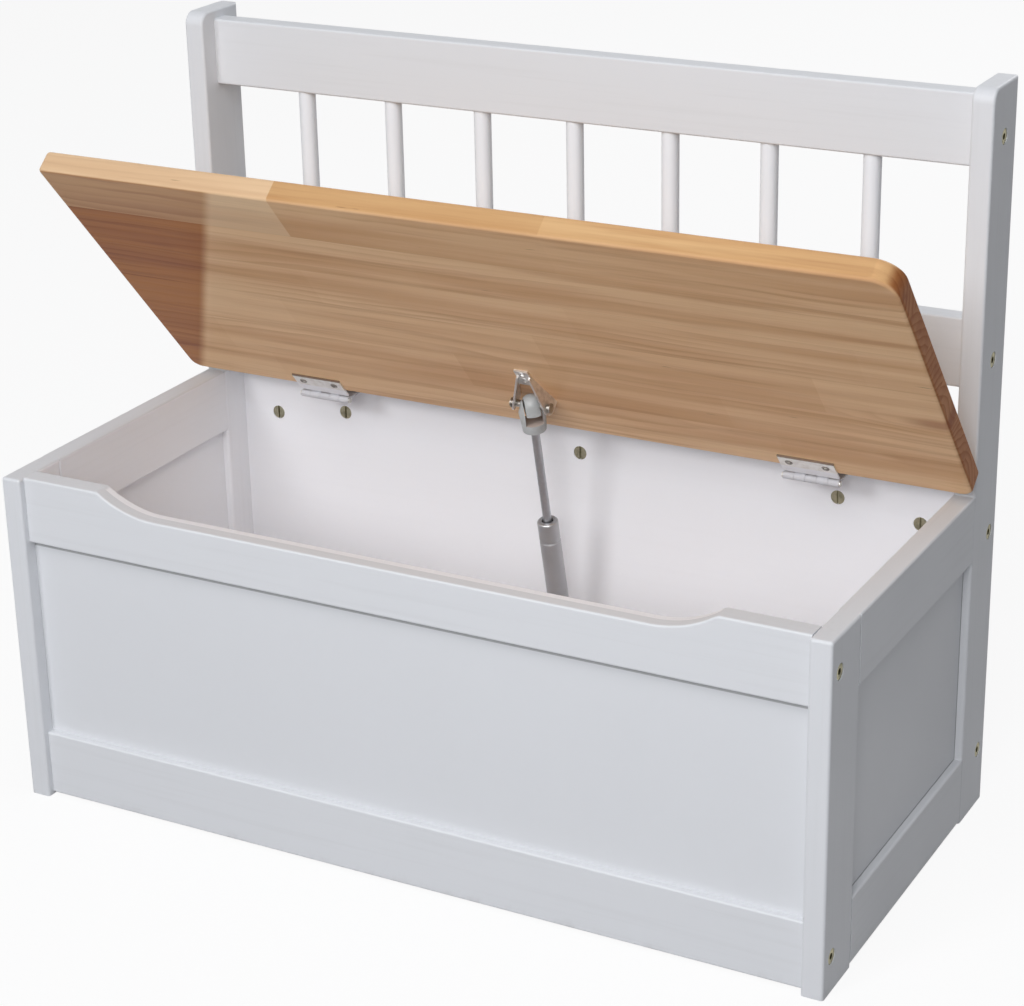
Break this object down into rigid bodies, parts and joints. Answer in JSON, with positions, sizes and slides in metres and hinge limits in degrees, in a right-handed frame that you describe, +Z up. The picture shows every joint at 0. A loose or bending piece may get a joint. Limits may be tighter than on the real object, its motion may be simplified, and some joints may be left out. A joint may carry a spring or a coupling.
{
  "type": "toy storage bench",
  "caption": "Children's bench with a white framed toy chest, spindle back rest and a hinged pine seat lid held open by a telescopic lid stay.",
  "frame": {"origin": "on the floor under the middle of the bench's outer box, with the lid open", "axes": "+X to the right seen from the front, +Y to the back rest, +Z up"},
  "size_m": [0.607, 0.29, 0.508],
  "materials": {
    "white_paint": "satin white paint on pine and fibreboard",
    "pine": "clear varnish on edge-glued, finger-jointed pine",
    "beech": "raw fluted beech dowel",
    "zinc_bolt": "yellow zinc plated steel, dulled",
    "yellow_zinc": "yellow zinc plated steel",
    "nickel": "nickel plated sheet steel",
    "bracket_chrome": "bright nickel plated sheet steel",
    "rod_steel": "ground steel rod",
    "cylinder_grey": "grey painted steel tube",
    "grey_plastic": "moulded grey plastic",
    "black_plastic": "moulded black plastic"
  },
  "bodies": {
    "carcass": {"front_post_left": "white_paint", "front_post_right": "white_paint", "back_post_left": "white_paint", "back_post_right": "white_paint", "side_top_rail_left": "white_paint", "side_top_rail_right": "white_paint", "side_bottom_rail_left": "white_paint", "side_bottom_rail_right": "white_paint", "side_panel_left": "white_paint", "side_panel_right": "white_paint", "front_top_rail": "white_paint", "front_bottom_rail": "white_paint", "front_panel": "white_paint", "back_wall": "white_paint", "floor_panel": "white_paint", "hinge_ledge": "white_paint", "backrest_top_rail": "white_paint", "backrest_middle_rail": "white_paint", "spindle_1": "white_paint", "spindle_2": "white_paint", "spindle_3": "white_paint", "spindle_4": "white_paint", "spindle_5": "white_paint", "spindle_6": "white_paint", "spindle_7": "white_paint", "side_dowels_left": "beech", "side_dowels_right": "beech", "rail_dowels_left": "beech", "rail_dowels_right": "beech", "connector_bolts_left": "zinc_bolt", "connector_bolts_right": "zinc_bolt", "ledge_bolts": "zinc_bolt", "barrel_nuts_left": "yellow_zinc", "barrel_nuts_right": "yellow_zinc", "ledge_nuts": "yellow_zinc", "hinge_ledge_leaf_left": "nickel", "hinge_ledge_leaf_right": "nickel", "hinge_pin_left": "nickel", "hinge_pin_right": "nickel", "hinge_screws_ledge": "nickel", "wall_bracket": "bracket_chrome", "wall_bracket_screws": "bracket_chrome", "wall_bracket_pin": "bracket_chrome"},
    "lid_assembly": {"lid": "pine", "hinge_lid_leaf_left": "nickel", "hinge_lid_leaf_right": "nickel", "hinge_screws_lid": "nickel", "lid_bracket": "bracket_chrome", "lid_bracket_screws": "bracket_chrome", "lid_bracket_pin": "bracket_chrome"},
    "stay_rod_assembly": {"stay_rod": "rod_steel", "stay_piston": "black_plastic", "stay_upper_head": "grey_plastic"},
    "stay_cylinder_assembly": {"stay_cylinder": "cylinder_grey", "stay_guide": "black_plastic", "stay_lower_head": "grey_plastic"}
  },
  "joints": [
    {"name": "lid_hinge", "type": "hinge", "parent": "carcass", "child": "lid_assembly", "pos_m": [0, 0.091, 0.2375], "axis": [1, 0, 0], "range_deg": [0, 49.4]},
    {"name": "stay_pivot", "type": "hinge", "parent": "lid_assembly", "child": "stay_rod_assembly", "pos_m": [0, 0.05356, 0.27258], "axis": [1, 0, 0], "range_deg": [-42.4, 0]},
    {"name": "stay_slide", "type": "slide", "parent": "stay_rod_assembly", "child": "stay_cylinder_assembly", "axis": [0, -0.2168, 0.9762], "range_m": [0, 0.0341]}
  ],
  "couplings": [
    {"joint": "stay_pivot", "follows": "lid_hinge", "ratio": -0.85524},
    {"joint": "stay_slide", "follows": "lid_hinge", "m_per_rad": 0.039374}
  ]
}
